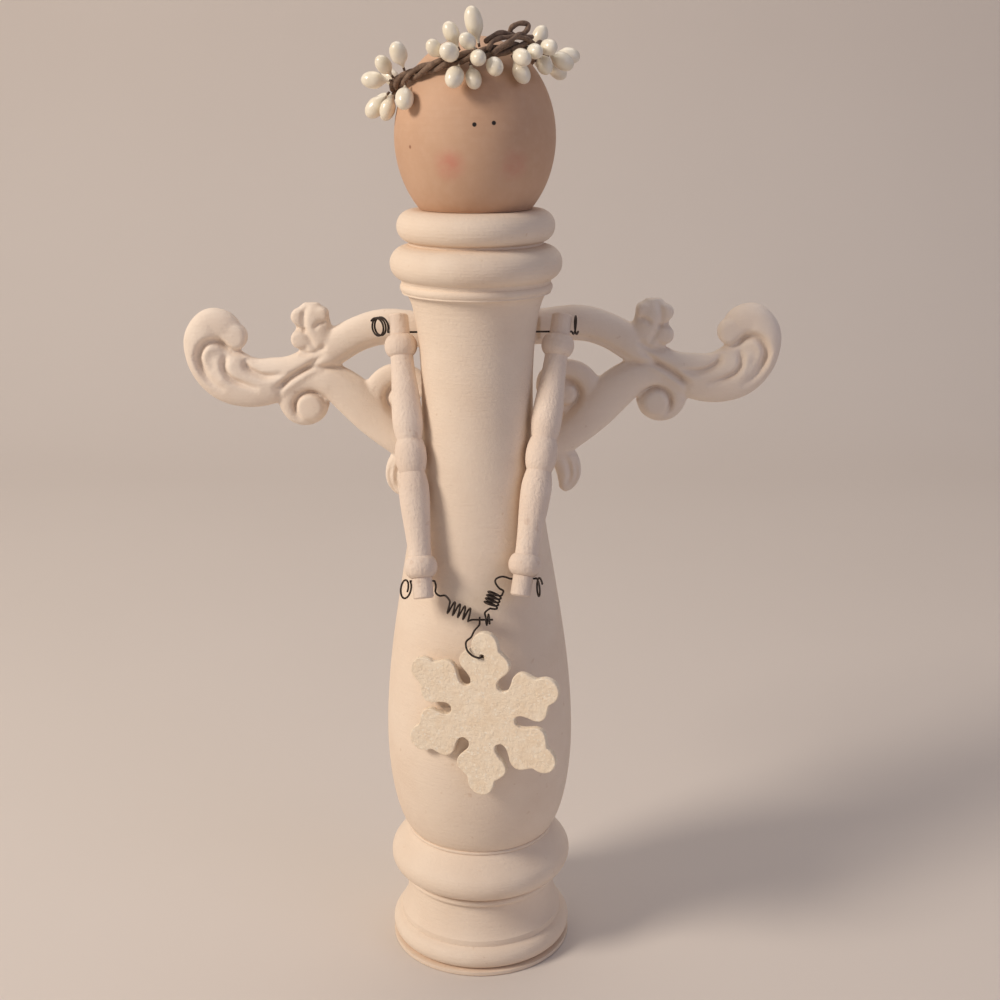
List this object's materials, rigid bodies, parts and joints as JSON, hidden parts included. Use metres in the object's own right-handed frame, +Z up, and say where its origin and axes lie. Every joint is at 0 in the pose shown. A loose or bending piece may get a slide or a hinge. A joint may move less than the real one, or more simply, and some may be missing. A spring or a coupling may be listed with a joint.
{
  "type": "angel doll",
  "caption": "Free-standing angel doll made from a turned post, with a round head, carved scroll wings, swinging spindle arms, a hanging snowflake and a berry wreath.",
  "frame": {"origin": "centre of the foot's underside", "axes": "+Z up along the post, -Y to the front where the face and the snowflake are, +X to the right as seen from the front"},
  "size_m": [0.2855, 0.1138, 0.4479],
  "materials": {
    "ivory_paint": "matte dry-brushed paint",
    "arm_paint": "matte dry-brushed paint",
    "flesh_paint": "matte paint",
    "birch": "bare",
    "glitter_flake": "matte paint with glitter",
    "steel_screw": "dull",
    "annealed_wire": "dull black annealed",
    "vine_bark": "rough bark",
    "pip_berry": "glossy ivory"
  },
  "bodies": {
    "doll": {"post": "ivory_paint", "head": "flesh_paint", "neck_dowel": "birch", "left_wing": "ivory_paint", "right_wing": "ivory_paint", "wing_screws": "steel_screw", "shoulder_wire": "annealed_wire", "vine_strand_a": "vine_bark", "vine_strand_b": "vine_bark", "vine_strand_c": "vine_bark", "vine_loop": "vine_bark", "berries_left": "pip_berry", "berries_front_left": "pip_berry", "berries_tall": "pip_berry", "berries_front": "pip_berry", "berries_front_right": "pip_berry", "berries_right": "pip_berry", "berries_back_right": "pip_berry", "berries_back": "pip_berry", "berries_back_left": "pip_berry"},
    "left_arm": {"left_arm": "arm_paint", "left_hand_wire": "annealed_wire"},
    "right_arm": {"right_arm": "arm_paint", "right_hand_wire": "annealed_wire"},
    "flake_hook": {"snowflake_hook": "annealed_wire"},
    "flake": {"snowflake": "glitter_flake"}
  },
  "joints": [
    {"name": "left_arm_swing", "type": "hinge", "parent": "doll", "child": "left_arm", "pos_m": [-0.0352, 0, 0.3084], "axis": [-1, 0, 0], "range_deg": [0, 75]},
    {"name": "right_arm_swing", "type": "hinge", "parent": "doll", "child": "right_arm", "pos_m": [0.038, 0, 0.3084], "axis": [-1, 0, 0], "range_deg": [0, 75]},
    {"name": "hook_hang", "type": "hinge", "parent": "left_arm", "child": "flake_hook", "pos_m": [0.0026, -0.0436, 0.18478], "axis": [-1, 0, 0], "range_deg": [-75, 0]},
    {"name": "flake_swing", "type": "hinge", "parent": "flake_hook", "child": "flake", "pos_m": [0.0026, -0.0516, 0.17058], "axis": [-0.342, -0.9397, 0], "range_deg": [-6, 6]}
  ],
  "couplings": [
    {"joint": "right_arm_swing", "follows": "left_arm_swing", "ratio": 1},
    {"joint": "hook_hang", "follows": "left_arm_swing", "ratio": -1}
  ]
}
